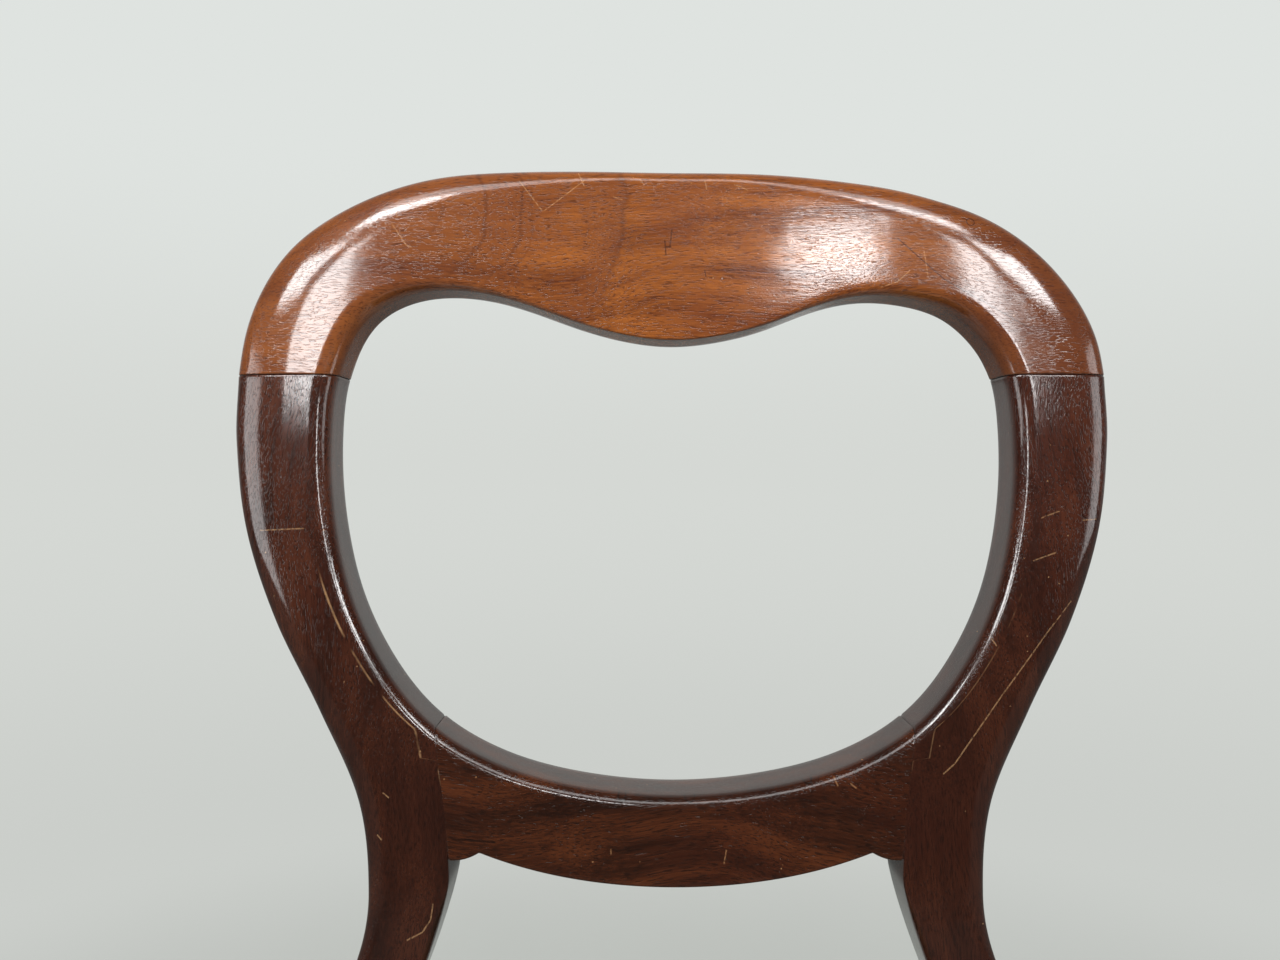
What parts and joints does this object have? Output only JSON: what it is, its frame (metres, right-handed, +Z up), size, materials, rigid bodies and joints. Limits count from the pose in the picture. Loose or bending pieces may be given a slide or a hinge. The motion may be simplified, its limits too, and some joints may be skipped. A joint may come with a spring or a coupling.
{
  "type": "balloon back dining chair",
  "caption": "Polished mahogany dining chair with an open balloon-shaped back, turned front legs, raked back legs and a lift-out upholstered seat.",
  "frame": {"origin": "on the floor, under the middle of the chair's overall box", "axes": "+Z up, the front faces -Y, +X to the right seen from the front"},
  "size_m": [0.45, 0.5164, 0.8796],
  "materials": {
    "mahogany": "French polished, gloss",
    "crest_mahogany": "French polished, gloss",
    "beech": "planed, bare",
    "birch": "bare",
    "screw_steel": "dull",
    "blued_tacks": "blued",
    "webbing": "woven jute and linen",
    "hessian": "open woven jute",
    "curled_hair": "teased hair",
    "calico": "unbleached plain weave",
    "cover_cloth": "dark green wool rep"
  },
  "bodies": {
    "chair_frame": {"crest_rail": "crest_mahogany", "back_leg_left": "mahogany", "back_leg_right": "mahogany", "cross_rail": "mahogany", "front_leg_left": "mahogany", "front_leg_right": "mahogany", "front_seat_rail": "mahogany", "side_seat_rail_left": "mahogany", "side_seat_rail_right": "mahogany", "rear_seat_rail": "mahogany", "corner_block_front_left": "beech", "corner_block_front_right": "beech", "corner_block_rear_left": "beech", "corner_block_rear_right": "beech", "corner_block_screws": "screw_steel", "crest_dowels": "birch", "cross_rail_dowels": "birch", "seat_rail_dowels": "birch"},
    "drop_in_seat": {"seat_frame_front": "beech", "seat_frame_back": "beech", "seat_frame_left": "beech", "seat_frame_right": "beech", "seat_frame_dowels": "birch", "webbing_long_1": "webbing", "webbing_long_2": "webbing", "webbing_long_3": "webbing", "webbing_cross_1": "webbing", "webbing_cross_2": "webbing", "webbing_cross_3": "webbing", "hessian": "hessian", "stuffing": "curled_hair", "calico": "calico", "seat_cover": "cover_cloth", "tacks": "blued_tacks"}
  },
  "joints": [
    {"name": "seat_lift", "type": "slide", "parent": "chair_frame", "child": "drop_in_seat", "axis": [0, 0, 1], "range_m": [0, 0.12]}
  ]
}
